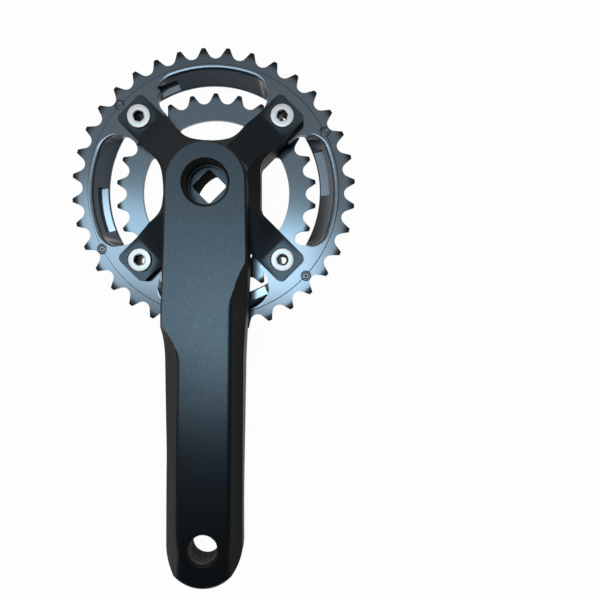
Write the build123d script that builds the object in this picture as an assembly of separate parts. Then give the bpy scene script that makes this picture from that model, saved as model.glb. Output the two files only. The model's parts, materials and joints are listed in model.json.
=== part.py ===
from build123d import *
import os
from math import atan2, cos, degrees, radians, sin, sqrt, tan

# Bicycle crank arm, drive side: one forging of arm, hub and four-arm spider, with two chainrings,
# the bolts that hold them and the shift pins riveted into the outer ring.
# Millimetres. The origin is on the axle axis at the hub's inner face. +Z points outboard along the
# axle, and the arm runs along -Y to the pedal.

# Hub and axle socket
hub_length = 34.1
hub_radius = 20.0
hub_top = 20.5
hub_boss_radius = 16.5
axle_square = 12.6
axle_taper = 2.0
axle_corner_cut = 0.8
countersink_radius = 10.0
countersink_half_angle = 30.0
extractor_thread_radius = 11.0
extractor_thread_depth = 8.0
extractor_mouth_radius = 11.9
recess_radius = 9.6
recess_depth = 10.5

# Arm
crank_length = 175.0
arm_rise = 10.9
arm_root_back = 18.2
right_root_half_width = 20.6
right_root_end = 42.0
right_blade_start = 84.0
left_root_half_width = 21.5
left_root_end = 65.0
left_blade_start = 130.0
outline_radius = 200.0
ramp_start = 24.0
ramp_soft_length = 43.2
back_ramp_start = 80.0
back_ramp_soft_length = 9.6
plateau_half_width = 12.8
bevel_slope = 1.0
shoulder_slope = 0.4
shoulder_width = 1.8
right_bevel_start = 40.0
right_bevel_end = 52.0
right_bevel_radius = 40.0
left_bevel_start = 73.0
left_bevel_end = 82.0
left_bevel_radius = 20.0
front_edge_chamfer = 1.0
back_edge_chamfer = 1.5

# Pedal end
pedal_end_radius = 18.4
pedal_end_thickness = 14.5
pedal_level_length = 25.0
pedal_thread_radius = 7.144
pedal_mouth_radius = 8.1
pedal_spot_radius = 10.2
pedal_spot_depth = 0.4

# Spider
bolt_circle_radius = 52.0
pad_front = 19.2
pad_half_width = 9.3
pad_start = 44.2
pad_end = 59.8
pad_corner_radius = 3.0
spider_top = 26.0
spider_top_radius = 21.0
spider_back = 8.0
valley_distance = 25.4
valley_fillet = 9.0
scoop_radius = 17.0
scoop_level = 16.0
scoop_slope = 0.7

# Chain and teeth
chain_pitch = 12.7
roller_seat_radius = 3.95
roller_seat_sweep = 62.0
seat_steps = 6
tooth_height = 1.85
tooth_tip_width = 1.9
tooth_thickness = 2.1
tooth_tip_thickness = 0.9
tooth_bevel_height = 3.4

# Outer chainring
outer_teeth = 36
outer_tooth_angle = 3.75
ring_spacing = 8.8
land_step = 0.55
land_radius = 66.1
land_width = 1.8
flank_width = 8.0
flank_depth = 5.0
rim_edge = 0.7
rim_back_width = 4.6
rim_shelf_width = 3.1
tab_thickness = 3.6
tab_half_width = 11.0
tab_back_half_width = 10.4
window_fillet = 12.0
window_back_fillet = 5.0
pocket_inset = 4.9
pocket_depth = 4.6
pocket_spans = [(-2.0, 23.0), (108.0, 10.0)]

# Inner chainring
inner_teeth = 26
inner_tooth_angle = 90.0
inner_ring_back = 1.8
inner_ring_thickness = 2.1
inner_ring_bore_radius = 39.8
inner_bolt_circle_radius = 32.0
inner_tab_radius = 8.5
inner_tab_fillet = 3.0
inner_lug_length = 14.0

# Bolts, nuts and pins
bolt_head_radius = 6.0
bolt_head_height = 2.2
bolt_head_proud = 0.8
bolt_thread_radius = 4.0
hex_across_flats = 5.0
hex_depth = 4.0
nut_sleeve_radius = 5.0
nut_flange_radius = 6.5
nut_flange_height = 1.3
nut_sleeve_gap = 0.5
inner_bolt_head_height = 1.5
inner_bolt_length = 7.0
pin_angles = [27.5, 137.5]
pin_outset = 0.2
pin_radius = 2.8
pin_proud = 1.8
fastener_sides = 16

# Clearances
shank_clearance = 0.05
sleeve_clearance = 0.1
head_clearance = 0.45
shoulder_clearance = 0.2
flange_clearance = 0.3

# Room that a cutting tool has past the surface it cuts
past = 1.0
far = 300.0

# How close two places are taken to be the same
touch = 0.01

# Levels and places that follow from the sizes
pedal_front = hub_length + arm_rise
pedal_back = pedal_front - pedal_end_thickness
ramp_end = crank_length - pedal_level_length
recess_floor = hub_length - recess_depth
inner_ring_front = inner_ring_back + inner_ring_thickness
tooth_plane = inner_ring_back + inner_ring_thickness / 2 + ring_spacing
land_front = tooth_plane + tooth_thickness / 2 + land_step
tab_back = land_front - tab_thickness
tab_shoulder_radius = bolt_circle_radius - nut_flange_radius - flange_clearance
bolt_seat = pad_front + bolt_head_proud - bolt_head_height
tooth_back = tooth_plane - tooth_thickness / 2
inner_bolt_end = inner_ring_back + inner_bolt_length
spider_arm_angles = [45.0, 135.0, 225.0, 315.0]
valley_angles = [0.0, 90.0, 180.0, 270.0]

# Radii of the outer ring that follow from the sizes
flank_front_radius = land_radius - land_width
flank_back_radius = flank_front_radius - flank_width
rim_shelf_radius = land_radius - rim_shelf_width
pin_circle_radius = land_radius + pin_outset
flank_back = land_front - flank_depth
tab_start = tab_shoulder_radius + shoulder_clearance


def polar(radius, angle):
    """Point at a radius and an angle in degrees from +X."""
    return Vector(radius * cos(radians(angle)), radius * sin(radians(angle)))


def around(shape, radius, angles):
    """Copies of a shape built on the axle axis, moved out to a radius at each angle."""
    return [Rot(0, 0, a) * (Pos(radius, 0, 0) * shape) for a in angles]


def upright(radius, bottom, top):
    """Cylinder along Z between two levels."""
    return Pos(0, 0, bottom) * Cylinder(radius, top - bottom, align=(Align.CENTER, Align.CENTER, Align.MIN))


def many_sided(radius, bottom, top):
    """Upright prism that stands for the round wall of a small fastener, or of the hole it fills."""
    return Pos(0, 0, bottom) * extrude(RegularPolygon(radius, fastener_sides), top - bottom)


def turned(points):
    """Solid of revolution about Z from a closed outline of (radius, z) points."""
    outline = Plane.XZ * make_face(Polyline(*points, close=True))
    return revolve(outline, Axis.Z)


def polygon(points):
    """Flat face with straight sides."""
    return make_face(Polyline(*points, close=True))


def reaching(start, end, half_width):
    """Rectangle along +X between two radii."""
    return Pos((start + end) / 2, 0) * Rectangle(end - start, 2 * half_width)


def corners_at(face, radius):
    """Corners of a flat face that lie at a distance from the axle."""
    return [v for v in face.vertices() if abs(sqrt(v.X ** 2 + v.Y ** 2) - radius) < touch]


def ramp(start, low, high, soft_length):
    """Line from the hub to past the pedal that climbs from a low to a high level, with soft bends."""
    tail = crank_length + pedal_end_radius + past
    points = [(hub_top + past, low), (-start, low), (-ramp_end, high), (-tail, high)]
    turn = atan2(high - low, ramp_end - start)
    return FilletPolyline(*points, radius=soft_length / tan(turn / 2))


def side_face(front, back):
    """Side view between a front and a back line."""
    ends = [Line(front @ share, back @ share) for share in (0, 1)]
    return make_face([front, back] + ends)


def front_line(drop=0.0):
    """Front of the arm in the side view: level at the hub, rising in a long soft curve to the pedal."""
    return ramp(ramp_start, hub_length - drop, pedal_front - drop, ramp_soft_length)


def bevel_profile(start, end, radius, rise):
    """Side view of what a bevel leaves: the arm's front line, with a soft climb out of it near the hub."""
    foot = Vector(-end, hub_length)
    slope = Vector(end - start, rise)
    low, high = foot - slope / 2, foot + slope * 4
    top = hub_top + past
    climb = polygon([low, high, (top, high.Y), (top, low.Y)])
    face = side_face(front_line(), front_line(far)) + climb
    crease = min(face.vertices(), key=lambda v: (Vector(v.X, v.Y) - foot).length)
    return Plane.YZ * fillet(crease, radius)


def bevel_cut(side, profile, edge, slope):
    """What a side bevel takes off the front, from an edge outwards at a slope."""
    reach = 2 * left_root_half_width
    way = Vector(2 * side * reach, 0, -2 * reach * slope)
    kept = Solid.extrude(Pos(side * (edge - reach), 0, reach * slope) * profile.face(), way)
    return Box(reach, 2 * far, far, align=(Align.CENTER, Align.CENTER, Align.MIN)) - kept


def side_bevels(side, half_width, start, end, radius):
    """A main bevel along one side of the front, and a shallower one that softens its upper edge."""
    rise = bevel_slope * (half_width - plateau_half_width)
    profile = bevel_profile(start, end, radius, rise)
    main = bevel_cut(side, profile, plateau_half_width, bevel_slope)
    return main + bevel_cut(side, profile, plateau_half_width - shoulder_width, shoulder_slope)


def arm_outline():
    """Front view of the arm: round at the hub and the pedal, widest below the hub on each side."""
    right = [(hub_radius, 0), (right_root_half_width, -right_root_end)]
    right += [(pedal_end_radius, -right_blade_start), (pedal_end_radius, -crank_length)]
    left = [(-pedal_end_radius, -crank_length), (-pedal_end_radius, -left_blade_start)]
    left += [(-left_root_half_width, -left_root_end), (-hub_radius, 0)]
    top = ThreePointArc(left[-1], (0, hub_top), right[0])
    end = ThreePointArc(right[-1], (0, -crank_length - pedal_end_radius), left[0])
    sides = [FilletPolyline(*points, radius=outline_radius) for points in (right, left)]
    return make_face([top, end] + sides)


def rim_edges(solid, way):
    """Edges round the outside of all the faces that look forward (way 1) or back (way -1)."""
    steepest = cos(radians(25))
    edges = [e for f in solid.faces() if f.normal_at().Z * way > steepest for e in f.edges()]
    return [e for e in edges if sum(e.is_same(other) for other in edges) == 1]


def arm_blade():
    """The arm from hub to pedal: front view and side view extruded through each other."""
    back_line = ramp(back_ramp_start, arm_root_back, pedal_back, back_ramp_soft_length)
    side_view = Plane.YZ * side_face(front_line(), back_line)
    front_view = extrude(arm_outline(), far)
    blade = front_view & extrude(side_view, left_root_half_width + past, both=True)
    blade = chamfer(rim_edges(blade, 1), front_edge_chamfer)
    blade = chamfer(rim_edges(blade, -1), back_edge_chamfer)
    right_climb = (right_bevel_start, right_bevel_end, right_bevel_radius)
    left_climb = (left_bevel_start, left_bevel_end, left_bevel_radius)
    blade -= side_bevels(1, right_root_half_width, *right_climb)
    blade -= side_bevels(-1, left_root_half_width, *left_climb)
    return blade


def spider_side():
    """Levels of a spider arm along its length, as a slab extruded across it."""
    right = [(spider_top_radius, spider_top), (pad_start, pad_front), (pad_end + past, pad_front)]
    right += [(pad_end + past, land_front), (tab_shoulder_radius, land_front)]
    right += [(tab_shoulder_radius, spider_back)]
    left = [(-u, z) for u, z in reversed(right)]
    return extrude(Plane.XZ * polygon(right + left), far / 2, both=True)


def spider():
    """Four arms from a square web, each sloping down from the hub to a flat bolt pad."""
    web = Rectangle(2 * valley_distance, 2 * valley_distance)
    arms = Rectangle(2 * pad_end, 2 * pad_half_width) + Rectangle(2 * pad_half_width, 2 * pad_end)
    tips = [v for v in arms.vertices() if v.X ** 2 + v.Y ** 2 > pad_end ** 2]
    plan = web + Rot(0, 0, 45) * fillet(tips, pad_corner_radius)
    valleys = [v for v in plan.vertices() if abs(max(abs(v.X), abs(v.Y)) - valley_distance) < touch]
    plan = fillet(valleys, valley_fillet)
    levels = Rot(0, 0, 45) * spider_side()
    body = extrude(plan, spider_top + past) & levels & (Rot(0, 0, 90) * levels)
    for cut in around(valley_scoop(), valley_distance + scoop_radius, valley_angles):
        body -= cut
    return body


def valley_scoop():
    """Cone that slopes the web's edge off between two spider arms."""
    height = spider_top + past - scoop_level
    upper_radius = scoop_radius + scoop_slope * height
    cone = Cone(scoop_radius, upper_radius, height, align=(Align.CENTER, Align.CENTER, Align.MIN))
    return Pos(0, 0, scoop_level) * cone


def axle_socket():
    """Square taper through the hub, corners up, down, left and right, countersunk at the inner face."""
    wide = axle_square + 2 * recess_floor * tan(radians(axle_taper))
    squares = [Rectangle(side, side, rotation=45) for side in (wide, axle_square)]
    back, front = [chamfer(square.vertices(), axle_corner_cut) for square in squares]
    taper = loft([back, Pos(0, 0, recess_floor) * front], ruled=True)
    depth = countersink_radius / tan(radians(countersink_half_angle))
    return taper + turned([(0, 0), (countersink_radius, 0), (0, depth)])


def hub_recess():
    """Extractor thread's bore with its chamfered mouth, and the smaller floor behind it."""
    thread_end = hub_length - extractor_thread_depth
    chamfer_depth = extractor_mouth_radius - extractor_thread_radius
    outline = [(0, recess_floor), (recess_radius, recess_floor), (recess_radius, thread_end)]
    outline += [(extractor_thread_radius, thread_end)]
    outline += [(extractor_thread_radius, hub_length - chamfer_depth)]
    outline += [(extractor_mouth_radius, hub_length), (extractor_mouth_radius, hub_length + past)]
    return turned(outline + [(0, hub_length + past)])


def pedal_hole():
    """Pedal thread's bore with a spot face, and a chamfer at each end."""
    spot = pedal_front - pedal_spot_depth
    chamfer_depth = pedal_mouth_radius - pedal_thread_radius
    outline = [(0, pedal_back - past), (pedal_mouth_radius, pedal_back - past)]
    outline += [(pedal_mouth_radius, pedal_back), (pedal_thread_radius, pedal_back + chamfer_depth)]
    outline += [(pedal_thread_radius, spot - chamfer_depth), (pedal_mouth_radius, spot)]
    outline += [(pedal_spot_radius, spot), (pedal_spot_radius, pedal_front + past)]
    return Pos(0, -crank_length, 0) * turned(outline + [(0, pedal_front + past)])


def inner_lug():
    """Block behind a spider arm that carries the inner ring."""
    block = Rectangle(inner_lug_length, 2 * pad_half_width)
    return Pos(0, 0, inner_ring_front) * extrude(block, spider_back + past - inner_ring_front)


def crank_arm():
    """The forging: arm, spider, hub boss and the lugs that carry the inner ring."""
    body = arm_blade() + spider() + upright(hub_boss_radius, 0, spider_top)
    for lug in around(inner_lug(), inner_bolt_circle_radius, spider_arm_angles):
        body += lug
    holes = [axle_socket(), hub_recess(), pedal_hole()]
    sleeve_hole = many_sided(nut_sleeve_radius + sleeve_clearance, land_front - past, bolt_seat + past)
    head_recess = upright(bolt_head_radius + head_clearance, bolt_seat, pad_front + past)
    holes += around(sleeve_hole + head_recess, bolt_circle_radius, spider_arm_angles)
    inner_hole = many_sided(bolt_thread_radius, inner_ring_front - past, inner_bolt_end + past)
    holes += around(inner_hole, inner_bolt_circle_radius, spider_arm_angles)
    for hole in holes:
        body -= hole
    return body


def tooth_disc(teeth, first_angle):
    """Disc with a sprocket's outline: round roller seats joined by straight flanks to narrow tips."""
    step = 360.0 / teeth
    pitch_radius = chain_pitch / (2 * sin(radians(step / 2)))
    tip_radius = pitch_radius + tooth_height
    tip_angle = degrees(tooth_tip_width / 2 / tip_radius)
    points = []
    for tooth in range(teeth):
        angle = first_angle + tooth * step
        gap = angle + step / 2
        points += [polar(tip_radius, angle - tip_angle), polar(tip_radius, angle + tip_angle)]
        for place in range(seat_steps + 1):
            turn = roller_seat_sweep * (1 - 2 * place / seat_steps)
            points.append(polar(pitch_radius, gap) + polar(roller_seat_radius, gap + 180 + turn))
    return polygon(points), tip_radius


def toothed_plate(teeth, first_angle, thickness, back):
    """Flat toothed disc on a level, each tooth tip bevelled flat on both faces."""
    disc, tip_radius = tooth_disc(teeth, first_angle)
    start = tip_radius - tooth_bevel_height
    edge = thickness / 2 - tooth_tip_thickness / 2
    tip = tip_radius + past
    levels = [(0, start), (edge, tip), (thickness - edge, tip), (thickness, start)]
    turn = first_angle + 180.0 / teeth
    sections = [Pos(0, 0, z) * RegularPolygon(r, teeth, False, rotation=turn) for z, r in levels]
    return Pos(0, 0, back) * (extrude(disc, thickness) & loft(sections, ruled=True))


def rim():
    """Disc inside the teeth: a raised land in front, and the thin edge that the flank runs back to."""
    edge_back = flank_back - rim_edge
    outline = [(0, tab_back), (flank_back_radius, tab_back), (flank_back_radius, edge_back)]
    outline += [(flank_back_radius + rim_back_width, edge_back), (rim_shelf_radius, tooth_back)]
    outline += [(land_radius, tooth_back), (land_radius, land_front), (0, land_front)]
    return turned(outline)


def window_outline(radius, half_width, corner_radius):
    """Opening between two tabs, rounded where the tabs meet the rim."""
    tip = half_width * sqrt(2)
    opening = Circle(radius) & polygon([(tip, 0), (tip + radius, -radius), (tip + radius, radius)])
    return fillet(corners_at(opening, radius), corner_radius)


def window():
    """Opening through the ring with its dished flank: narrow behind, wide in front."""
    back = window_outline(flank_back_radius, tab_back_half_width, window_back_fillet)
    front = window_outline(flank_front_radius, tab_half_width, window_fillet)
    flank = loft([Pos(0, 0, flank_back) * back, Pos(0, 0, land_front) * front], ruled=True)
    return extrude(back, flank_back) + flank


def sector(radius, start, sweep, bottom, top):
    """Wedge of a cylinder from its axis out to a radius."""
    first, middle, last = [polar(radius, start + share * sweep) for share in (0, 0.5, 1)]
    face = make_face([ThreePointArc(first, middle, last), Polyline(last, (0, 0), first)])
    return Pos(0, 0, bottom) * extrude(face, top - bottom)


def outer_chainring():
    """Toothed ring with four bolt tabs, dished windows between them, shift pockets and rivet holes."""
    ring = toothed_plate(outer_teeth, outer_tooth_angle, tooth_thickness, tooth_back)
    ring -= upright(rim_shelf_radius, 0, land_front)
    ring += rim()
    centre = Rectangle(2 * tab_start, 2 * tab_start, rotation=45) & Circle(flank_back_radius)
    ring -= extrude(centre, land_front)
    for cut in around(window(), 0, valley_angles):
        ring -= cut
    for start, sweep in pocket_spans:
        for turn in (0, 180):
            pocket_radius = land_radius - pocket_inset
            ring -= sector(pocket_radius, start + turn, sweep, land_front - pocket_depth, land_front)
    bolt_hole = many_sided(nut_sleeve_radius + sleeve_clearance, tab_back - past, land_front + past)
    bolt_hole += many_sided(nut_flange_radius + flange_clearance, 0, tab_back)
    for hole in around(bolt_hole, bolt_circle_radius, spider_arm_angles):
        ring -= hole
    pin_hole = many_sided(pin_radius, 0, land_front + past)
    for hole in around(pin_hole, pin_circle_radius, pin_positions()):
        ring -= hole
    return ring


def pin_positions():
    """Angles of the shift pins, in opposite pairs."""
    return pin_angles + [a + 180 for a in pin_angles]


def shift_pin():
    """Round pin pressed through the outer ring: flush in front, and proud behind to lift the chain."""
    front = tooth_plane + tooth_thickness / 2
    return many_sided(pin_radius - shank_clearance, front - tooth_thickness - pin_proud, front)


def inner_chainring():
    """Flat toothed plate with four tabs that reach in to its own bolts."""
    opening = Circle(inner_ring_bore_radius)
    tab = reaching(inner_bolt_circle_radius, inner_ring_bore_radius + past, inner_tab_radius)
    tab += Pos(inner_bolt_circle_radius, 0) * Circle(inner_tab_radius)
    for angle in spider_arm_angles:
        opening -= Rot(0, 0, angle) * tab
    opening = fillet(corners_at(opening, inner_ring_bore_radius), inner_tab_fillet)
    ring = toothed_plate(inner_teeth, inner_tooth_angle, inner_ring_thickness, inner_ring_back)
    ring -= extrude(opening, far)
    bolt_hole = many_sided(bolt_thread_radius + sleeve_clearance, 0, inner_ring_front + past)
    for hole in around(bolt_hole, inner_bolt_circle_radius, spider_arm_angles):
        ring -= hole
    return ring


def hex_socket(bottom, top):
    """Six-sided socket for an Allen key between two levels."""
    return Pos(0, 0, bottom) * extrude(RegularPolygon(hex_across_flats / 2, 6, False), top - bottom)


def chainring_bolt():
    """Hollow bolt: flat head on a shank that screws into the sleeve nut, hex socket right through."""
    top = bolt_seat + bolt_head_height
    bolt = many_sided(bolt_head_radius, bolt_seat, top)
    bolt += many_sided(bolt_thread_radius - shank_clearance, tab_back, bolt_seat)
    return bolt - hex_socket(tab_back, top)


def chainring_nut():
    """Sleeve nut: a flange against the back of the ring's tab and a sleeve through tab and pad."""
    nut = many_sided(nut_flange_radius, tab_back - nut_flange_height, tab_back)
    nut += many_sided(nut_sleeve_radius, tab_back, bolt_seat - nut_sleeve_gap)
    return nut - many_sided(bolt_thread_radius, tab_back - nut_flange_height, bolt_seat)


def inner_ring_bolt():
    """Bolt from behind through the inner ring's tab into a spider boss."""
    bottom = inner_ring_back - inner_bolt_head_height
    bolt = many_sided(bolt_head_radius, bottom, inner_ring_back)
    bolt += many_sided(bolt_thread_radius - shank_clearance, inner_ring_back, inner_bolt_end)
    return bolt - hex_socket(bottom, bottom + hex_depth)


parts = {
    "crank_arm": crank_arm(),
    "outer_chainring": outer_chainring(),
    "inner_chainring": inner_chainring(),
    "chainring_bolts": Compound(around(chainring_bolt(), bolt_circle_radius, spider_arm_angles)),
    "chainring_nuts": Compound(around(chainring_nut(), bolt_circle_radius, spider_arm_angles)),
    "inner_ring_bolts": Compound(around(inner_ring_bolt(), inner_bolt_circle_radius, spider_arm_angles)),
    "shift_pins": Compound(around(shift_pin(), pin_circle_radius, pin_positions())),
}

os.makedirs("parts", exist_ok=True)
for name, shape in parts.items():
    export_step(shape, f"parts/{name}.step")
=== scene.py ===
import json
import math

import bmesh
import bpy
import numpy as np
from mathutils import Matrix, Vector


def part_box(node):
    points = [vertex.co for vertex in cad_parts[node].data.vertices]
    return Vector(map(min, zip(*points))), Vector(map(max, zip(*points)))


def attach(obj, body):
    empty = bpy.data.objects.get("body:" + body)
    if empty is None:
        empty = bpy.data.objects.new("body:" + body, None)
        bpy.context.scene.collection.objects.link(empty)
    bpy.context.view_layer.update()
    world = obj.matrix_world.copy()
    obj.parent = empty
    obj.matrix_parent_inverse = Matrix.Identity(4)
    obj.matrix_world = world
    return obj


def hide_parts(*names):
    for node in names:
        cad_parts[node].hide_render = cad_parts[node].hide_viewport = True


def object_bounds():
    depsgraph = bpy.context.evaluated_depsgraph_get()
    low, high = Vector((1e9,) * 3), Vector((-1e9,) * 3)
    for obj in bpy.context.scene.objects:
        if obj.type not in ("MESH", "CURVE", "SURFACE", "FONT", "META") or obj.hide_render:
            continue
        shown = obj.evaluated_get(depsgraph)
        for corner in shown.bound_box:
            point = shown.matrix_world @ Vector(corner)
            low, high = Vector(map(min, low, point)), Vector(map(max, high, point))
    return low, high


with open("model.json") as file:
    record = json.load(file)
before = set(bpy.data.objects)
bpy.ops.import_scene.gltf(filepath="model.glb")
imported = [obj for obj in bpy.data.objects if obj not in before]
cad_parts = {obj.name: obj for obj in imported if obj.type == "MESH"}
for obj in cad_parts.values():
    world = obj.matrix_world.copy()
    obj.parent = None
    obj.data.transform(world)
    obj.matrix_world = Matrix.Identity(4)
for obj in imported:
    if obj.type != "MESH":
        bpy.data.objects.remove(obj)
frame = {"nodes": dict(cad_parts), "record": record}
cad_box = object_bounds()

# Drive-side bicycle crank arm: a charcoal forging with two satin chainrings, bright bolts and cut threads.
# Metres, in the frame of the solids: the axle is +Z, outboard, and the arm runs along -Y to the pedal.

mm = 0.001
full_turn = 2 * math.pi
mounts = {m["name"]: m for m in frame["record"]["mounts"]}

# Places that the solids give
bolt_low, bolt_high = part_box("chainring_bolts")
nut_low, nut_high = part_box("chainring_nuts")
inner_bolt_low, inner_bolt_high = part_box("inner_ring_bolts")
pin_low, pin_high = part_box("shift_pins")
ring_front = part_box("outer_chainring")[1].z

# Sizes of the hollow chainring bolts, and of the hex socket in every bolt
bolt_head_radius = 6.0 * mm
bolt_head_height = 2.2 * mm
bolt_head_round = 0.5 * mm
bolt_shank_radius = 3.95 * mm
bolt_bore_radius = 1.9 * mm
hex_half_width = 2.5 * mm
hex_mouth_radius = 3.2 * mm
hex_mouth_depth = 0.5 * mm
hex_depth = 3.6 * mm

# Sizes of the sleeve nuts
nut_flange_radius = 6.5 * mm
nut_flange_height = 1.3 * mm
nut_flange_round = 0.4 * mm
nut_sleeve_radius = 5.0 * mm
nut_bore_radius = 4.0 * mm
nut_mouth_round = 0.3 * mm

# Sizes of the bolts that hold the inner ring
inner_bolt_head_height = 1.5 * mm
inner_bolt_head_round = 0.4 * mm
inner_bolt_end_round = 0.3 * mm
inner_hex_mouth_depth = 0.4 * mm

# Sizes of the shift pins, from the rolled rim to the dimple in the core
pin_radius = 2.75 * mm
pin_back_round = 0.4 * mm
pin_rim_height = 0.7 * mm
pin_rim_radius = 2.3 * mm
pin_rim_inner_radius = 1.95 * mm
pin_groove_radius = 1.75 * mm
pin_groove_inner_radius = 1.5 * mm
pin_groove_depth = 0.5 * mm
pin_core_radius = 1.3 * mm
pin_dimple_radius = 0.7 * mm
pin_dimple_floor_radius = 0.4 * mm
pin_dimple_wall_depth = 0.5 * mm
pin_dimple_depth = 0.6 * mm

# Small rounds of the turned pieces
sharp_round = 0.05 * mm
fine_round = 0.1 * mm
edge_round = 0.2 * mm

# Places of the turned pieces round the axle
arm_angles = [45.0, 135.0, 225.0, 315.0]
pin_angles = [27.5, 137.5, 207.5, 317.5]
pin_circle_radius = 66.3 * mm
bolt_offset = bolt_high.x - bolt_head_radius
inner_bolt_offset = inner_bolt_high.x - bolt_head_radius
bolt_circle_radius = bolt_offset * math.sqrt(2)
inner_bolt_circle_radius = inner_bolt_offset * math.sqrt(2)

# Sizes of the cut threads
extractor_pitch = 1.0 * mm
extractor_depth = 0.54 * mm
pedal_pitch = 1.27 * mm
pedal_depth = 0.6 * mm
thread_sink = 0.02 * mm
thread_backing = 0.3 * mm

# Sizes on the forging and the rings that the painted shade and painted light follow
recess_floor = 23.6 * mm
recess_radius = 9.8 * mm
step_radius = 66.1 * mm
step_shade_line_half = 0.2 * mm
pocket_floor = ring_front - 4.6 * mm
pocket_radius = 61.3 * mm
level_margin = 0.1 * mm

# Soft round of the outer ring's window edges, and the broken edges of forging and rings
window_round_reach = 1.4 * mm
window_round_drop = 0.85 * mm
window_round_start = 56.5 * mm
window_round_full = 61.0 * mm
window_edge_radius = 65.0 * mm
flank_least_up, flank_most_up = 0.05, 0.97
arm_edge = 0.4 * mm
ring_edge = 0.2 * mm

# Fineness of the meshes
pole_weld = 0.0005 * mm
solid_weld = 0.002 * mm
cut_tolerance = 0.0001 * mm
smallest_length = 1e-9
flat_angle = math.radians(0.2)
edge_angle = math.radians(28)
turned_smooth_angle = math.radians(35)
thread_smooth_angle = math.radians(60)


def merge_points(mesh, distance):
    """Join the points of a mesh that lie within a distance."""
    work = bmesh.new()
    work.from_mesh(mesh)
    bmesh.ops.remove_doubles(work, verts=work.verts, dist=distance)
    work.to_mesh(mesh)
    work.free()


def place_piece(name, mesh, material):
    """Make an object of a mesh, give it its material and let it ride with the part."""
    piece = bpy.data.objects.new(name, mesh)
    bpy.context.scene.collection.objects.link(piece)
    mesh.materials.clear()
    mesh.materials.append(material)
    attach(piece, "root")
    return piece


def place_mesh(name, points, faces, material, smooth_angle):
    """Put arrays of points and quads into a piece that is smooth up to an angle.
    A row of points at a pole becomes one point."""
    mesh = bpy.data.meshes.new(name)
    mesh.from_pydata(points.tolist(), [], faces.tolist())
    merge_points(mesh, pole_weld)
    mesh.shade_smooth()
    mesh.set_sharp_from_angle(angle=smooth_angle)
    return place_piece(name, mesh, material)


def closed_grid(points, loop):
    """Quads of a grid of points (rows, columns, 3): columns close round, rows close too if loop is true."""
    rows, columns = points.shape[:2]
    index = np.arange(rows * columns).reshape(rows, columns)
    right = np.roll(index, -1, axis=1)
    below = np.roll(index, -1, axis=0)
    below_right = np.roll(right, -1, axis=0)
    last = rows if loop else rows - 1
    quads = np.stack([index, right, below_right, below], axis=-1)[:last]
    return quads.reshape(-1, 4)


def hexagon(angles):
    """Distance from the centre of a hexagon of half width 1 to its side: 1 / cos of the angle off a flat."""
    off = np.mod(angles + full_turn / 12, full_turn / 6) - full_turn / 12
    return 1 / np.cos(off)


def turned_grid(rows, sides=72):
    """Points of a turned piece: rows of (radius, height, hexness) swept round Z.
    At hexness 1 the radius is a hexagon's half width, and in between the row is a blend of both."""
    angles = np.linspace(0, full_turn, sides, endpoint=False)
    shape = 1 + rows[:, 2:3] * (hexagon(angles)[None, :] - 1)
    radius = rows[:, 0:1] * shape
    height = np.repeat(rows[:, 1:2], sides, axis=1)
    return np.stack([radius * np.cos(angles), radius * np.sin(angles), height], axis=-1)


def copies_round(points, faces, radius, angles):
    """Copies of one piece, each moved out to a radius and turned by an angle about the axle."""
    all_points, all_faces = [], []
    flat = points.reshape(-1, 3)
    for number, angle in enumerate(np.radians(angles)):
        cos_a, sin_a = math.cos(angle), math.sin(angle)
        x, y, z = flat[:, 0] + radius, flat[:, 1], flat[:, 2]
        all_points.append(np.stack([x * cos_a - y * sin_a, x * sin_a + y * cos_a, z], axis=-1))
        all_faces.append(faces + number * len(flat))
    return np.concatenate(all_points), np.concatenate(all_faces)


def rounded_rows(corners, loop, steps=5):
    """Rows (radius, height, hexness) of a profile from its corners (radius, height, hexness, round).
    Each corner becomes a curve that starts and ends at the round's distance from it:
    (1 - t)^2 start + 2 t (1 - t) corner + t^2 end. Without loop the first and last corners are poles."""
    t = np.linspace(0, 1, steps)[:, None]
    rows = []
    for number, (radius, height, hexness, rounding) in enumerate(corners):
        here = np.array([radius, height])
        before = np.array(corners[number - 1][:2]) - here
        after = np.array(corners[(number + 1) % len(corners)][:2]) - here
        start = here + before / np.linalg.norm(before) * rounding
        end = here + after / np.linalg.norm(after) * rounding
        curve = (1 - t) ** 2 * start + 2 * t * (1 - t) * here + t ** 2 * end
        rows.append(np.column_stack([curve, np.full(steps, hexness)]))
    rows = np.concatenate(rows)
    return rows if loop else rows[steps - 1:1 - steps]


def turned_pieces(node, corners, loop, radius, angles, material):
    """Turned copies round the axle that stand for a node's plain solids."""
    points = turned_grid(rounded_rows(corners, loop))
    points, faces = copies_round(points, closed_grid(points, loop), radius, angles)
    piece = place_mesh(node + "_turned", points, faces, material, turned_smooth_angle)
    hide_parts(node)


def chainring_bolts(material):
    """Hollow bolts: a flat head with soft edges, a hex socket and a smaller bore right through the shank."""
    top, seat, end = bolt_high.z, bolt_high.z - bolt_head_height, bolt_low.z
    mouth, socket = top - hex_mouth_depth, top - hex_depth
    corners = [
        (bolt_shank_radius, end, 0, edge_round),
        (bolt_shank_radius, seat, 0, fine_round),
        (bolt_head_radius, seat, 0, edge_round),
        (bolt_head_radius, top, 0, bolt_head_round),
        (hex_mouth_radius, top, 0, fine_round),
        (hex_half_width, mouth, 1, sharp_round),
        (hex_half_width, socket, 1, fine_round),
        (bolt_bore_radius, socket, 0, fine_round),
        (bolt_bore_radius, end, 0, fine_round),
    ]
    turned_pieces("chainring_bolts", corners, True, bolt_circle_radius, arm_angles, material)


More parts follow.
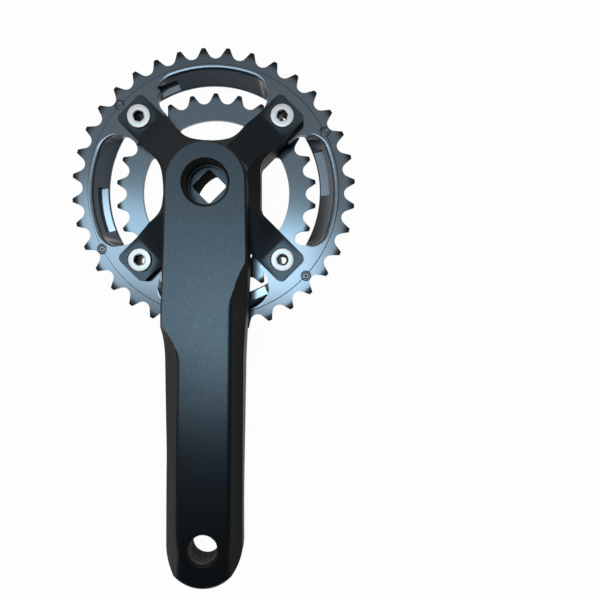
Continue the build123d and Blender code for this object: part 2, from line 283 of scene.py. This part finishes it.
def chainring_nuts(material):
    """Sleeve nuts: a flange behind the ring's tab and a sleeve forward through tab and pad."""
    back, face, end = nut_low.z, nut_low.z + nut_flange_height, nut_high.z
    corners = [
        (nut_bore_radius, end, 0, edge_round),
        (nut_bore_radius, back, 0, nut_mouth_round),
        (nut_flange_radius, back, 0, nut_flange_round),
        (nut_flange_radius, face, 0, fine_round),
        (nut_sleeve_radius, face, 0, fine_round),
        (nut_sleeve_radius, end, 0, edge_round),
    ]
    turned_pieces("chainring_nuts", corners, True, bolt_circle_radius, arm_angles, material)


def inner_ring_bolts(material):
    """Bolts from behind: a flat head with a hex socket, and a shank into the spider's lug."""
    back, seat, end = inner_bolt_low.z, inner_bolt_low.z + inner_bolt_head_height, inner_bolt_high.z
    mouth, socket = back + inner_hex_mouth_depth, back + hex_depth
    corners = [
        (0, socket, 0, 0),
        (hex_half_width, socket, 1, fine_round),
        (hex_half_width, mouth, 1, sharp_round),
        (hex_mouth_radius, back, 0, fine_round),
        (bolt_head_radius, back, 0, inner_bolt_head_round),
        (bolt_head_radius, seat, 0, fine_round),
        (bolt_shank_radius, seat, 0, fine_round),
        (bolt_shank_radius, end, 0, inner_bolt_end_round),
        (0, end, 0, 0),
    ]
    turned_pieces("inner_ring_bolts", corners, False, inner_bolt_circle_radius, arm_angles, material)


def shift_pins(material):
    """Pins pressed through the outer ring: a rolled front rim round a flat core with a centre dimple."""
    front, back = pin_high.z, pin_low.z
    groove = front - pin_groove_depth
    corners = [
        (0, back, 0, 0),
        (pin_radius, back, 0, pin_back_round),
        (pin_radius, front - pin_rim_height, 0, fine_round),
        (pin_rim_radius, front, 0, fine_round),
        (pin_rim_inner_radius, front, 0, fine_round),
        (pin_groove_radius, groove, 0, fine_round),
        (pin_groove_inner_radius, groove, 0, fine_round),
        (pin_core_radius, front, 0, fine_round),
        (pin_dimple_radius, front, 0, fine_round),
        (pin_dimple_floor_radius, front - pin_dimple_wall_depth, 0, fine_round),
        (0, front - pin_dimple_depth, 0, 0),
    ]
    turned_pieces("shift_pins", corners, False, pin_circle_radius, pin_angles, material)


def cut_thread(name, mount, pitch, depth, material, sides=96, rows_per_pitch=12):
    """Cut thread with rounded crests and roots that stands inward from a bore's wall.
    At an angle a and height z the radius is wall - depth * (1 - cos(turn * z / pitch - a)) / 2, and the ends
    run out over one pitch to just behind the wall. A plain band in the metal behind closes the piece."""
    wall = mount["dims"]["r_mm"] * mm
    length = mount["dims"]["length_mm"] * mm
    middle = np.array(mount["pos_m"])
    rows = int(length / pitch * rows_per_pitch)
    angles = np.linspace(0, full_turn, sides, endpoint=False)[None, :]
    height = np.linspace(-length / 2, length / 2, rows)[:, None]
    ridge = (1 - np.cos(full_turn * height / pitch - angles)) / 2
    ends = np.clip((length / 2 - np.abs(height)) / pitch, 0, 1)
    radius = wall - depth * ridge * ends + thread_sink * (1 - ends)
    behind = np.full((1, sides), wall + thread_backing)
    radius = np.concatenate([behind, radius, behind])
    height = np.concatenate([height[:1], height, height[-1:]]) + np.zeros((1, sides))
    points = np.stack([radius * np.cos(angles), radius * np.sin(angles), height], axis=-1) + middle
    faces = closed_grid(points, True)[:, ::-1]
    place_mesh(name, points.reshape(-1, 3), faces, material, thread_smooth_angle)


def merged_mesh(node):
    """Mesh of a solid with its loose triangles joined and its flat faces made whole."""
    mesh = frame["nodes"][node].data.copy()
    mesh.name = node + "_finished"
    merge_points(mesh, solid_weld)
    work = bmesh.new()
    work.from_mesh(mesh)
    bmesh.ops.dissolve_limit(work, angle_limit=flat_angle, verts=work.verts, edges=work.edges)
    work.to_mesh(mesh)
    work.free()
    return mesh


def soft_step(value, low, high):
    """0 below low, 1 above high and 3 t^2 - 2 t^3 between."""
    t = np.clip((value - low) / (high - low), 0, 1)
    return t * t * (3 - 2 * t)


def window_flanks(mesh):
    """Whether each face is part of a slope that faces up and inwards in a ring window, and its normal."""
    normals = np.empty(len(mesh.polygons) * 3)
    centres = np.empty(len(mesh.polygons) * 3)
    mesh.polygons.foreach_get("normal", normals)
    mesh.polygons.foreach_get("center", centres)
    normals, centres = normals.reshape(-1, 3), centres.reshape(-1, 3)
    inward = -np.sum(normals[:, :2] * centres[:, :2], axis=1)
    radius = np.linalg.norm(centres[:, :2], axis=1)
    sloped = (normals[:, 2] > flank_least_up) & (normals[:, 2] < flank_most_up)
    return sloped & (inward > 0) & (radius < window_edge_radius), normals


def cut_flank_rows(mesh, depths):
    """Cut the flanks of the windows level at depths below the ring's front, to give the round its rows."""
    for depth in depths:
        flank, _ = window_flanks(mesh)
        work = bmesh.new()
        work.from_mesh(mesh)
        work.faces.ensure_lookup_table()
        faces = [work.faces[number] for number in np.flatnonzero(flank)]
        edges = list({e for f in faces for e in f.edges})
        verts = list({v for f in faces for v in f.verts})
        bmesh.ops.bisect_plane(work, geom=faces + edges + verts, dist=cut_tolerance,
                               plane_co=(0, 0, ring_front - depth), plane_no=(0, 0, 1))
        work.to_mesh(mesh)
        work.free()


def round_window_edges(mesh, steps=6):
    """Broad soft round where the front of the outer ring turns down into its windows.
    A point at depth d moves away from the opening by reach * (1 - sqrt(d / drop))^2, and by a smaller
    share of that beside the bolt tabs."""
    cut_flank_rows(mesh, window_round_drop * (np.arange(1, steps + 1) / steps) ** 2)
    merge_points(mesh, solid_weld)
    flank, normals = window_flanks(mesh)
    corners = np.empty(len(mesh.loops), dtype=int)
    sides = np.empty(len(mesh.polygons), dtype=int)
    points = np.empty(len(mesh.vertices) * 3)
    mesh.loops.foreach_get("vertex_index", corners)
    mesh.polygons.foreach_get("loop_total", sides)
    mesh.vertices.foreach_get("co", points)
    points = points.reshape(-1, 3)
    face = np.repeat(np.arange(len(sides)), sides)
    on_flank = flank[face]
    lean = np.zeros((len(points), 2))
    np.add.at(lean, corners[on_flank], normals[face[on_flank], :2])
    length = np.linalg.norm(lean, axis=1, keepdims=True)
    away = -lean / np.maximum(length, smallest_length)
    depth = np.clip((ring_front - points[:, 2]) / window_round_drop, 0, 1)
    share = soft_step(np.linalg.norm(points[:, :2], axis=1), window_round_start, window_round_full)
    points[:, :2] += away * (window_round_reach * share * (1 - np.sqrt(depth)) ** 2)[:, None]
    mesh.vertices.foreach_set("co", points.ravel())
    mesh.update()


def finished_piece(node, mesh, edge, material):
    """Copy of a solid with smooth curved faces, flat faces that stay flat and softly broken edges."""
    mesh.shade_smooth()
    piece = place_piece(node + "_finished", mesh, material)
    soft = piece.modifiers.new("broken_edges", "BEVEL")
    soft.width = edge
    soft.segments = 2
    soft.limit_method = "ANGLE"
    soft.angle_limit = edge_angle
    flat = piece.modifiers.new("flat_faces", "WEIGHTED_NORMAL")
    flat.weight = 60
    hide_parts(node)


class Nodes:
    """Short way to add and join the nodes of one material or group."""

    def __init__(self, tree):
        self.tree = tree

    def add(self, kind, **values):
        """A new node of a kind, with some of its settings."""
        node = self.tree.nodes.new(kind)
        for name, value in values.items():
            setattr(node, name, value)
        return node

    def join(self, out, into):
        """Link an output to an input."""
        self.tree.links.new(out, into)

    def fill(self, sockets, values):
        """Set each socket to a number or a colour, or join another node's output to it."""
        for socket, value in zip(sockets, values):
            if isinstance(value, (int, float)):
                socket.default_value = value
            elif isinstance(value, tuple):
                socket.default_value = (*value, 1.0)
            else:
                self.join(value, socket)

    def math(self, operation, *values, clamp=False):
        """Result of a named operation on one to three values."""
        node = self.add("ShaderNodeMath", operation=operation, use_clamp=clamp)
        self.fill(node.inputs, values)
        return node.outputs[0]

    def times(self, a, b):
        """a times b."""
        return self.math("MULTIPLY", a, b)

    def larger(self, a, b):
        """The larger of a and b."""
        return self.math("MAXIMUM", a, b)

    def rest(self, share):
        """What a share leaves of 1."""
        return self.math("SUBTRACT", 1.0, share)

    def mix(self, share, a, b):
        """Colour a at share 0, b at share 1, and in proportion between."""
        node = self.add("ShaderNodeMix", data_type="RGBA")
        self.fill((node.inputs[0], node.inputs[6], node.inputs[7]), (share, a, b))
        return node.outputs[2]

    def between(self, value, low, high):
        """0 below a low value, 1 above a high one, and a soft step between."""
        node = self.add("ShaderNodeMapRange", interpolation_type="SMOOTHSTEP")
        self.fill(node.inputs, (value, low, high))
        return node.outputs[0]

    def group(self, tree, *values):
        """Outputs of a placed group that is given the values of its inputs in order."""
        node = self.add("ShaderNodeGroup", node_tree=tree)
        self.fill(node.inputs, values)
        return node.outputs


def new_material(name):
    """Node material with its Principled shader, and the Nodes that fill it."""
    material = bpy.data.materials.new(name)
    material.use_nodes = True
    shader = material.node_tree.nodes["Principled BSDF"]
    return material, Nodes(material.node_tree), shader


def new_group(name, inputs, outputs):
    """Empty shader group of values, with its named sockets, and the Nodes that fill it."""
    tree = bpy.data.node_groups.new(name, "ShaderNodeTree")
    for socket in inputs:
        tree.interface.new_socket(socket, in_out="INPUT", socket_type="NodeSocketFloat")
    for socket in outputs:
        tree.interface.new_socket(socket, in_out="OUTPUT", socket_type="NodeSocketFloat")
    n = Nodes(tree)
    return tree, n, n.add("NodeGroupInput"), n.add("NodeGroupOutput")


def grain_group():
    """Group: fine blasted grain, and round bright specks in a share of cells, from Object coordinates."""
    noise_detail, choice_sharpness = 4.0, 12.0
    speck_core, speck_rim = 0.1, 0.6
    tree, n, given, result = new_group("blasted_grain", ["Grain Scale", "Speck Scale", "Speck Share"],
                                       ["Grain", "Speck"])
    place = n.add("ShaderNodeTexCoord").outputs["Object"]
    noise = n.add("ShaderNodeTexNoise")
    noise.inputs["Detail"].default_value = noise_detail
    n.join(place, noise.inputs["Vector"])
    n.join(given.outputs["Grain Scale"], noise.inputs["Scale"])
    n.join(noise.outputs["Fac"], result.inputs["Grain"])
    cells = n.add("ShaderNodeTexVoronoi")
    n.join(place, cells.inputs["Vector"])
    n.join(given.outputs["Speck Scale"], cells.inputs["Scale"])
    chance = n.add("ShaderNodeSeparateColor")
    n.join(cells.outputs["Color"], chance.inputs["Color"])
    over = n.math("SUBTRACT", chance.outputs[0], n.rest(given.outputs["Speck Share"]))
    chosen = n.math("MULTIPLY", over, choice_sharpness, clamp=True)
    dot = n.rest(n.between(cells.outputs["Distance"], speck_core, speck_rim))
    n.join(n.times(chosen, dot), result.inputs["Speck"])
    return tree


def axis_group():
    """Group: distance from the nearest of four axes at plus and minus an offset in X and Y, and the height.
    At offset 0 the four are the axle itself."""
    tree, n, given, result = new_group("round_an_axis", ["Offset"], ["Radius", "Height"])
    place = n.add("ShaderNodeSeparateXYZ")
    n.join(n.add("ShaderNodeTexCoord").outputs["Object"], place.inputs[0])
    squares = []
    for axis in ("X", "Y"):
        side = n.math("SUBTRACT", n.math("ABSOLUTE", place.outputs[axis]), given.outputs["Offset"])
        squares.append(n.times(side, side))
    n.join(n.math("SQRT", n.math("ADD", *squares)), result.inputs["Radius"])
    n.join(place.outputs["Z"], result.inputs["Height"])
    return tree


def bump(n, shader, height, strength, distance):
    """Bump from a height, into the shader's normal."""
    node = n.add("ShaderNodeBump")
    node.inputs["Strength"].default_value = strength
    node.inputs["Distance"].default_value = distance
    n.join(height, node.inputs["Height"])
    n.join(node.outputs["Normal"], shader.inputs["Normal"])


def squareness(n):
    """How square a surface is to the axle: 1 on its front and back faces, 0 on a wall along it."""
    facing = n.add("ShaderNodeSeparateXYZ")
    n.join(n.add("ShaderNodeNewGeometry").outputs["Normal"], facing.inputs[0])
    return n.math("ABSOLUTE", facing.outputs["Z"])


def shade(colour, factor):
    """A colour times a factor."""
    return tuple(factor * c for c in colour)


def charcoal_forging(grain_tree, axis_tree):
    """Blasted and black-anodised aluminium: dark metal with fine grain and pale specks, painted shade that
    darkens its bevels and walls, which are also duller, and painted shade that turns the axle socket black."""
    grain_scale, speck_scale, speck_share = 2400.0, 3600.0, 0.35
    wall_below, flat_above = 0.68, 0.95
    grain_dark, grain_pale = (0.024, 0.031, 0.037), (0.06, 0.077, 0.092)
    speck_pale, speck_strength = (0.25, 0.28, 0.3), 0.2
    # Painted shade: colour and strength that darken steep walls and bevels
    wall_painted_shade, wall_shade_strength, wall_roughness = (0.016, 0.0155, 0.015), 0.85, 0.55
    # Painted shade: near black inside the axle socket
    socket_painted_shade = (0.006, 0.006, 0.006)
    dull, polish = 0.36, 0.1
    material, n, shader = new_material("charcoal_forging")
    grain, speck = n.group(grain_tree, grain_scale, speck_scale, speck_share)
    radius, height = n.group(axis_tree, 0.0)
    steep = n.rest(n.between(squareness(n), wall_below, flat_above))
    # Painted shade mask: steep walls of the axle socket below the recess floor
    inside = n.math("LESS_THAN", radius, recess_radius)
    below = n.math("LESS_THAN", height, recess_floor - level_margin)
    socket = n.times(n.times(inside, below), steep)
    tone = n.mix(grain, grain_dark, grain_pale)
    tone = n.mix(n.times(speck, speck_strength), tone, speck_pale)
    # Painted shade darkens the walls and bevels by how steep they are
    tone = n.mix(n.times(steep, wall_shade_strength), tone, wall_painted_shade)
    # Painted shade turns the axle socket near black
    n.join(n.mix(socket, tone, socket_painted_shade), shader.inputs["Base Color"])
    shader.inputs["Metallic"].default_value = 1.0
    rough = n.math("SUBTRACT", dull, n.times(grain, polish))
    rough = n.larger(rough, n.times(steep, wall_roughness))
    n.join(n.larger(rough, socket), shader.inputs["Roughness"])
    bump(n, shader, grain, strength=0.25, distance=0.04 * mm)
    return material


def satin_ring(name, grain_tree, axis_tree, colour, roughness, tooth_start, tooth_end, stepped):
    """Satin anodised ring: fine grain, painted light on the flanks, and painted shade on the walls and on
    the teeth, darkening to their tips.
    A stepped ring also has a painted shade line where its front steps down, and painted light on the floors
    of its shift pockets."""
    grain_scale, grain_shade, grain_roughness = 900.0, 0.9, 0.04
    flank_below, front_above = 0.85, 0.93
    wall_below, slope_above = 0.1, 0.4
    # Painted shade: near black on the tooth tips, the steep walls and the line at the step
    tip_painted_shade = (0.012, 0.012, 0.013)
    tip_shade_strength, wall_shade_strength, dark_roughness = 0.85, 0.6, 0.5
    # Painted light: lighter flanks and brighter pocket floors
    flank_painted_light, flank_roughness, pocket_painted_light = 2.1, 0.32, 1.6
    material, n, shader = new_material(name)
    grain = n.group(grain_tree, grain_scale)["Grain"]
    radius, height = n.group(axis_tree, 0.0)
    square = squareness(n)
    flank = n.rest(n.between(square, flank_below, front_above))
    steep = n.rest(n.between(square, wall_below, slope_above))
    # Painted shade on the teeth, darkening to the tips, and on the steep walls
    tip_shade = n.times(n.between(radius, tooth_start, tooth_end), tip_shade_strength)
    dark = n.larger(tip_shade, n.times(steep, wall_shade_strength))
    tone = n.mix(grain, shade(colour, grain_shade), colour)
    # Painted light on the sloped flanks
    tone = n.mix(flank, tone, shade(colour, flank_painted_light))
    if stepped:
        # Painted shade line where the front steps down
        dark = n.larger(dark, n.math("COMPARE", radius, step_radius, step_shade_line_half))
        # Painted light on the floors of the shift pockets
        pocket = n.math("COMPARE", height, pocket_floor, level_margin)
        pocket = n.times(pocket, n.math("LESS_THAN", radius, pocket_radius))
        tone = n.mix(pocket, tone, shade(colour, pocket_painted_light))
    n.join(n.mix(dark, tone, tip_painted_shade), shader.inputs["Base Color"])
    shader.inputs["Metallic"].default_value = 1.0
    rough = n.math("ADD", roughness - grain_roughness / 2, n.times(grain, grain_roughness))
    rough = n.larger(rough, n.times(flank, flank_roughness))
    n.join(n.larger(rough, n.times(dark, dark_roughness)), shader.inputs["Roughness"])
    bump(n, shader, grain, strength=0.02, distance=0.03 * mm)
    return material


def bare_metal(name, grain_tree, dark, pale, roughness):
    """Plain metal with a fine grain between two tones, for the shift pins and the cut pedal thread."""
    grain_scale, grain_roughness = 2500.0, 0.1
    material, n, shader = new_material(name)
    grain = n.group(grain_tree, grain_scale)["Grain"]
    n.join(n.mix(grain, dark, pale), shader.inputs["Base Color"])
    shader.inputs["Metallic"].default_value = 1.0
    n.join(n.math("ADD", roughness, n.times(grain, grain_roughness)), shader.inputs["Roughness"])
    return material


def turned_steel(name, axis_tree, offset, colour, roughness, socket_levels=None):
    """Turned steel of the small fasteners, with fine rings from the lathe round each one's own axis
    and, between two levels, painted shade in the socket."""
    line_scale, line_shade, line_roughness = 4000.0, 0.75, 0.1
    # Painted shade inside the hex socket
    hex_socket_painted_shade = (0.03, 0.04, 0.045)
    material, n, shader = new_material(name)
    radius, height = n.group(axis_tree, offset)
    rings = n.add("ShaderNodeTexNoise", noise_dimensions="1D")
    rings.inputs["Scale"].default_value = line_scale
    n.join(radius, rings.inputs["W"])
    lines = rings.outputs["Fac"]
    tone = n.mix(lines, shade(colour, line_shade), colour)
    # Painted shade in the socket between the two levels
    if socket_levels:
        low, high = socket_levels
        deep = n.times(n.math("GREATER_THAN", height, low), n.math("LESS_THAN", height, high))
        tone = n.mix(n.times(deep, n.math("LESS_THAN", radius, hex_mouth_radius)), tone, hex_socket_painted_shade)
    n.join(tone, shader.inputs["Base Color"])
    shader.inputs["Metallic"].default_value = 1.0
    rough = n.math("ADD", roughness - line_roughness / 2, n.times(lines, line_roughness))
    n.join(rough, shader.inputs["Roughness"])
    bump(n, shader, lines, strength=0.2, distance=0.03 * mm)
    return material


def pale_floor():
    """White floor: camera, glossy and transmission rays see it near white with a faint shadow."""
    reach, drop, grey, white_share = 3.0, 0.2 * mm, 0.82, 0.97
    corners = reach * np.array([(-1, -1), (1, -1), (1, 1), (-1, 1)])
    level = np.full((4, 1), cad_box[0][2] - drop)
    mesh = bpy.data.meshes.new("floor")
    mesh.from_pydata(np.hstack([corners, level]).tolist(), [], [(0, 1, 2, 3)])
    floor = bpy.data.objects.new("floor", mesh)
    bpy.context.scene.collection.objects.link(floor)
    material, n, shader = new_material("floor_white")
    shader.inputs["Base Color"].default_value = (grey, grey, grey, 1.0)
    shader.inputs["Roughness"].default_value = 0.9
    shader.inputs["Specular IOR Level"].default_value = 0.0
    rays = n.add("ShaderNodeLightPath")
    seen = n.larger(rays.outputs["Is Camera Ray"], rays.outputs["Is Glossy Ray"])
    seen = n.larger(seen, rays.outputs["Is Transmission Ray"])
    white = n.add("ShaderNodeEmission")
    blend = n.add("ShaderNodeMixShader")
    n.join(n.times(seen, white_share), blend.inputs[0])
    n.join(shader.outputs[0], blend.inputs[1])
    n.join(white.outputs[0], blend.inputs[2])
    n.join(blend.outputs[0], material.node_tree.nodes["Material Output"].inputs["Surface"])
    mesh.materials.append(material)


def studio_world():
    """Room light by the height of a direction: dim low down, a warm pale band of wall, a dimmer upper wall
    and a dark ceiling. Low wall and band are palest behind and to the left, the upper wall is dimmest on
    the pedal's side, and the camera sees white."""
    band_start, upper_start, ceiling_start = (0.08, 0.22), (0.38, 0.56), (0.74, 0.86)
    left_share, upper_reach = 0.5, (-0.6, 0.2)
    low_dim, low_pale = (0.2, 0.17, 0.15), (0.55, 0.46, 0.4)
    band_dim, band_pale = (0.75, 0.63, 0.55), (1.5, 1.22, 1.02)
    upper_dim, upper_pale = (0.08, 0.083, 0.086), (0.18, 0.185, 0.19)
    ceiling = (0.02, 0.023, 0.026)
    world = bpy.data.worlds.new("studio")
    bpy.context.scene.world = world
    world.use_nodes = True
    n = Nodes(world.node_tree)
    way = n.add("ShaderNodeSeparateXYZ")
    n.join(n.add("ShaderNodeTexCoord").outputs["Generated"], way.inputs[0])
    across, along, height = way.outputs
    side = n.between(n.math("SUBTRACT", along, n.times(across, left_share)), -1.0, 1.0)
    low = n.mix(side, low_dim, low_pale)
    band = n.mix(side, band_dim, band_pale)
    upper = n.mix(n.between(along, *upper_reach), upper_dim, upper_pale)
    room = n.mix(n.between(height, *band_start), low, band)
    room = n.mix(n.between(height, *upper_start), room, upper)
    room = n.mix(n.between(height, *ceiling_start), room, ceiling)
    rays = n.add("ShaderNodeLightPath")
    seen = n.mix(rays.outputs["Is Camera Ray"], room, (1.0, 1.0, 1.0))
    n.join(seen, world.node_tree.nodes["Background"].inputs["Color"])


def softbox(name, place, size, turn, power, colour):
    """Rectangular lamp that looks straight down, turned about the vertical by an angle in degrees."""
    lamp = bpy.data.lights.new(name, "AREA")
    lamp.shape = "RECTANGLE"
    lamp.size, lamp.size_y = size
    lamp.energy = power
    lamp.color = colour
    holder = bpy.data.objects.new(name, lamp)
    bpy.context.scene.collection.objects.link(holder)
    holder.location = place
    holder.rotation_euler.z = math.radians(turn)


def photo_camera():
    """Camera almost straight above, close to the part, between the hub and the middle of the arm."""
    place = (0.0482, -0.05181, 0.2766)
    right, up, back = (0.99996, 0.0, -0.00925), (-0.0002, 0.99977, -0.02169), (0.00925, 0.02169, 0.99972)
    data = bpy.data.cameras.new("camera")
    data.sensor_width = 36.0
    data.lens = 30.0
    data.clip_start = 0.01
    camera = bpy.data.objects.new("camera", data)
    bpy.context.scene.collection.objects.link(camera)
    turn = Matrix(np.stack([right, up, back], axis=1).tolist()).to_4x4()
    camera.matrix_world = Matrix.Translation(place) @ turn
    bpy.context.scene.camera = camera


# Finishes
grain_tree = grain_group()
axis_tree = axis_group()
dark_steel = (0.22, 0.23, 0.24)
forging = charcoal_forging(grain_tree, axis_tree)
outer_metal = satin_ring("outer_ring_gunmetal", grain_tree, axis_tree, colour=(0.13, 0.155, 0.18),
                         roughness=0.17, tooth_start=69.5 * mm, tooth_end=74.5 * mm, stepped=True)
inner_metal = satin_ring("inner_ring_steel", grain_tree, axis_tree, colour=(0.13, 0.165, 0.195),
                         roughness=0.18, tooth_start=50.0 * mm, tooth_end=54.0 * mm, stepped=False)
bolt_socket = (bolt_low.z, bolt_high.z - hex_mouth_depth + level_margin)
inner_bolt_socket = (inner_bolt_low.z + inner_hex_mouth_depth - level_margin, inner_bolt_high.z)
bolt_silver = turned_steel("bolt_silver", axis_tree, bolt_offset, colour=(0.88, 0.9, 0.91), roughness=0.45,
                           socket_levels=bolt_socket)
nut_metal = turned_steel("nut_steel", axis_tree, bolt_offset, colour=dark_steel, roughness=0.35)
inner_bolt_metal = turned_steel("inner_bolt_steel", axis_tree, inner_bolt_offset, colour=dark_steel,
                                roughness=0.35, socket_levels=inner_bolt_socket)
pin_metal = bare_metal("pin_steel", grain_tree, dark=(0.13, 0.15, 0.165), pale=(0.22, 0.24, 0.26),
                       roughness=0.2)
thread_metal = bare_metal("cut_thread_metal", grain_tree, dark=(0.05, 0.053, 0.056),
                          pale=(0.095, 0.1, 0.105), roughness=0.25)

# Pieces
finished_piece("crank_arm", merged_mesh("crank_arm"), arm_edge, forging)
outer_mesh = merged_mesh("outer_chainring")
round_window_edges(outer_mesh)
finished_piece("outer_chainring", outer_mesh, ring_edge, outer_metal)
finished_piece("inner_chainring", merged_mesh("inner_chainring"), ring_edge, inner_metal)
chainring_bolts(bolt_silver)
chainring_nuts(nut_metal)
inner_ring_bolts(inner_bolt_metal)
shift_pins(pin_metal)
cut_thread("extractor_thread", mounts["extractor_thread"], extractor_pitch, extractor_depth, forging)
cut_thread("pedal_thread", mounts["pedal_thread"], pedal_pitch, pedal_depth, thread_metal)

# Studio
blue_white, near_white = (0.7, 0.89, 1.0), (0.92, 0.97, 1.0)
pale_floor()
studio_world()
softbox("overhead_left", (-0.43, 0.08, 1.2), size=(0.42, 0.25), turn=-11.31, power=1.35, colour=blue_white)
softbox("overhead_right", (-0.07, 0.03, 1.2), size=(0.34, 0.23), turn=-5.71, power=1.6, colour=blue_white)
softbox("overhead_broad", (-0.25, 0.25, 1.3), size=(1.3, 0.9), turn=0.0, power=2.7, colour=near_white)
photo_camera()

bpy.context.scene.view_settings.view_transform = "Standard"
